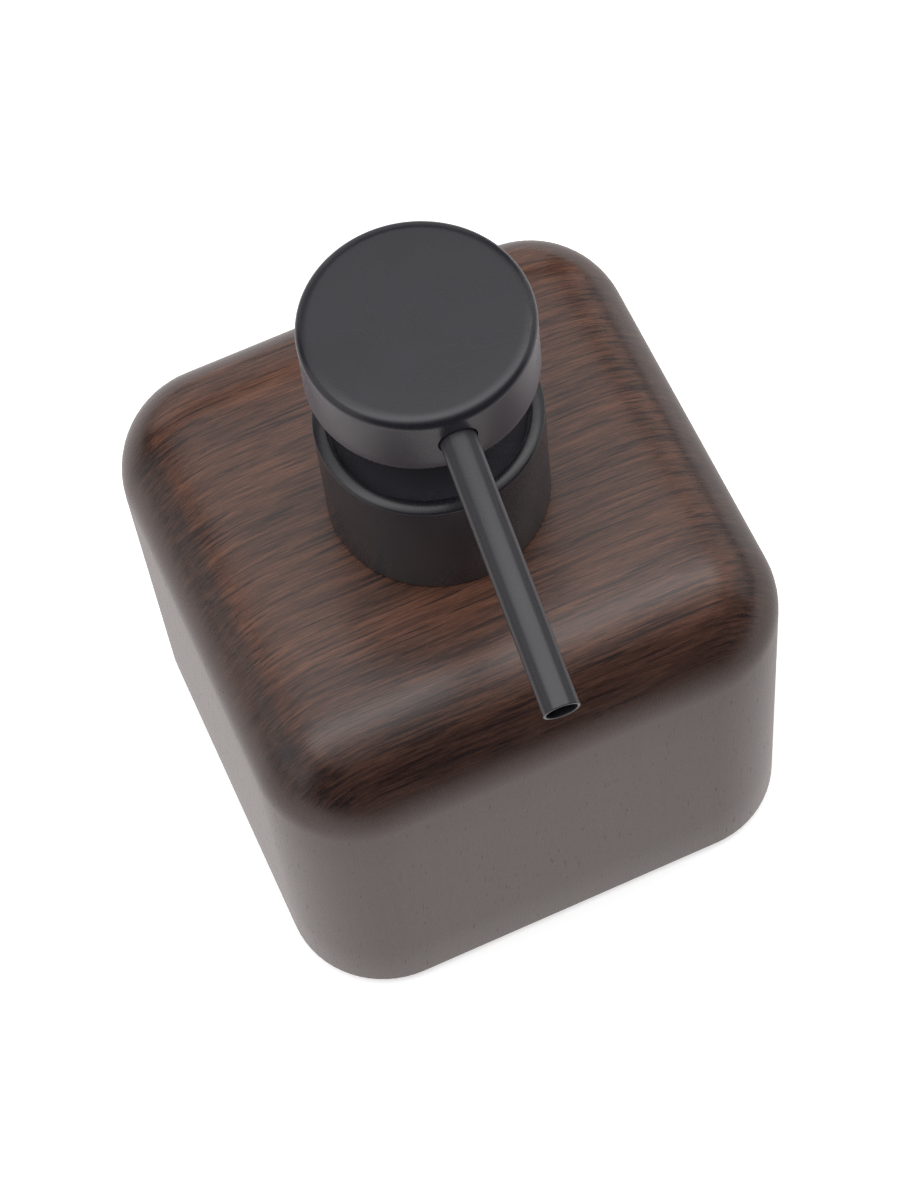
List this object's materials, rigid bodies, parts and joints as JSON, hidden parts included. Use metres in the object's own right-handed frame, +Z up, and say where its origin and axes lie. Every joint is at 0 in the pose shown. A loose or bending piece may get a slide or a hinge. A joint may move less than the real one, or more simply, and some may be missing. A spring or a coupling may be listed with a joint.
{
  "type": "soap pump dispenser",
  "caption": "Square rounded wooden soap dispenser with a refillable liner bottle and a black metal lotion pump, its press-down round head carrying a straight tube spout.",
  "frame": {"origin": "centre of the underside of the base pad, on the pump's axis", "axes": "+Z up along the pump axis; -Y is the front, where the spout points (turned 4.5 degrees towards -X)"},
  "size_m": [0.095, 0.1123, 0.138],
  "materials": {
    "walnut": "dark walnut, satin lacquer",
    "black_metal": "satin black coating",
    "black_plastic": "moulded matte",
    "natural_plastic": "natural translucent white",
    "clear_plastic": "milky clear",
    "steel": "bright drawn",
    "rubber": "matte black"
  },
  "bodies": {
    "bottle": {"wood_body": "walnut", "base_plate": "black_plastic", "base_screw_1": "steel", "base_screw_2": "steel", "base_screw_3": "steel", "base_screw_4": "steel", "base_pad": "rubber", "inner_bottle": "natural_plastic"},
    "seal": {"housing_gasket": "rubber"},
    "pump": {"pump_housing": "natural_plastic", "chaplet": "black_plastic", "dip_tube": "clear_plastic", "ball_retainer": "natural_plastic", "return_spring": "steel"},
    "ball": {"inlet_ball": "steel"},
    "collar": {"closure_nut": "black_plastic", "collar_shell": "black_metal"},
    "plunger": {"stem_plug": "natural_plastic"},
    "piston": {"piston": "clear_plastic"},
    "head": {"stem": "black_plastic", "head_shell": "black_metal", "head_core": "black_plastic", "head_cover": "black_plastic", "spout_tube": "black_metal", "spout_o_ring": "rubber"}
  },
  "joints": [
    {"name": "pump_lift", "type": "slide", "parent": "bottle", "child": "seal", "axis": [0, 0, 1], "range_m": [0, 0.11]},
    {"name": "closure_rise", "type": "slide", "parent": "seal", "child": "pump", "axis": [0, 0, 1], "range_m": [0, 0.0106]},
    {"name": "collar_unscrew", "type": "hinge", "parent": "pump", "child": "collar", "pos_m": [0, 0, 0.097], "axis": [0, 0, 1], "range_deg": [0, 900]},
    {"name": "inlet_ball_lift", "type": "slide", "parent": "pump", "child": "ball", "axis": [0, 0, 1], "range_m": [0, 0.0014]},
    {"name": "head_press", "type": "slide", "parent": "pump", "child": "plunger", "axis": [0, 0, -1], "range_m": [0, 0.012], "stiffness_N_per_m": 700, "springref_m": -0.0114, "deforming": ["return_spring"]},
    {"name": "piston_slip", "type": "slide", "parent": "plunger", "child": "piston", "axis": [0, 0, 1], "range_m": [0, 0.0012]},
    {"name": "head_swivel", "type": "hinge", "parent": "plunger", "child": "head", "pos_m": [0, 0, 0.125], "axis": [0, 0, 1], "continuous": true}
  ],
  "couplings": [
    {"joint": "closure_rise", "follows": "collar_unscrew", "m_per_rad": 0.00066845}
  ]
}
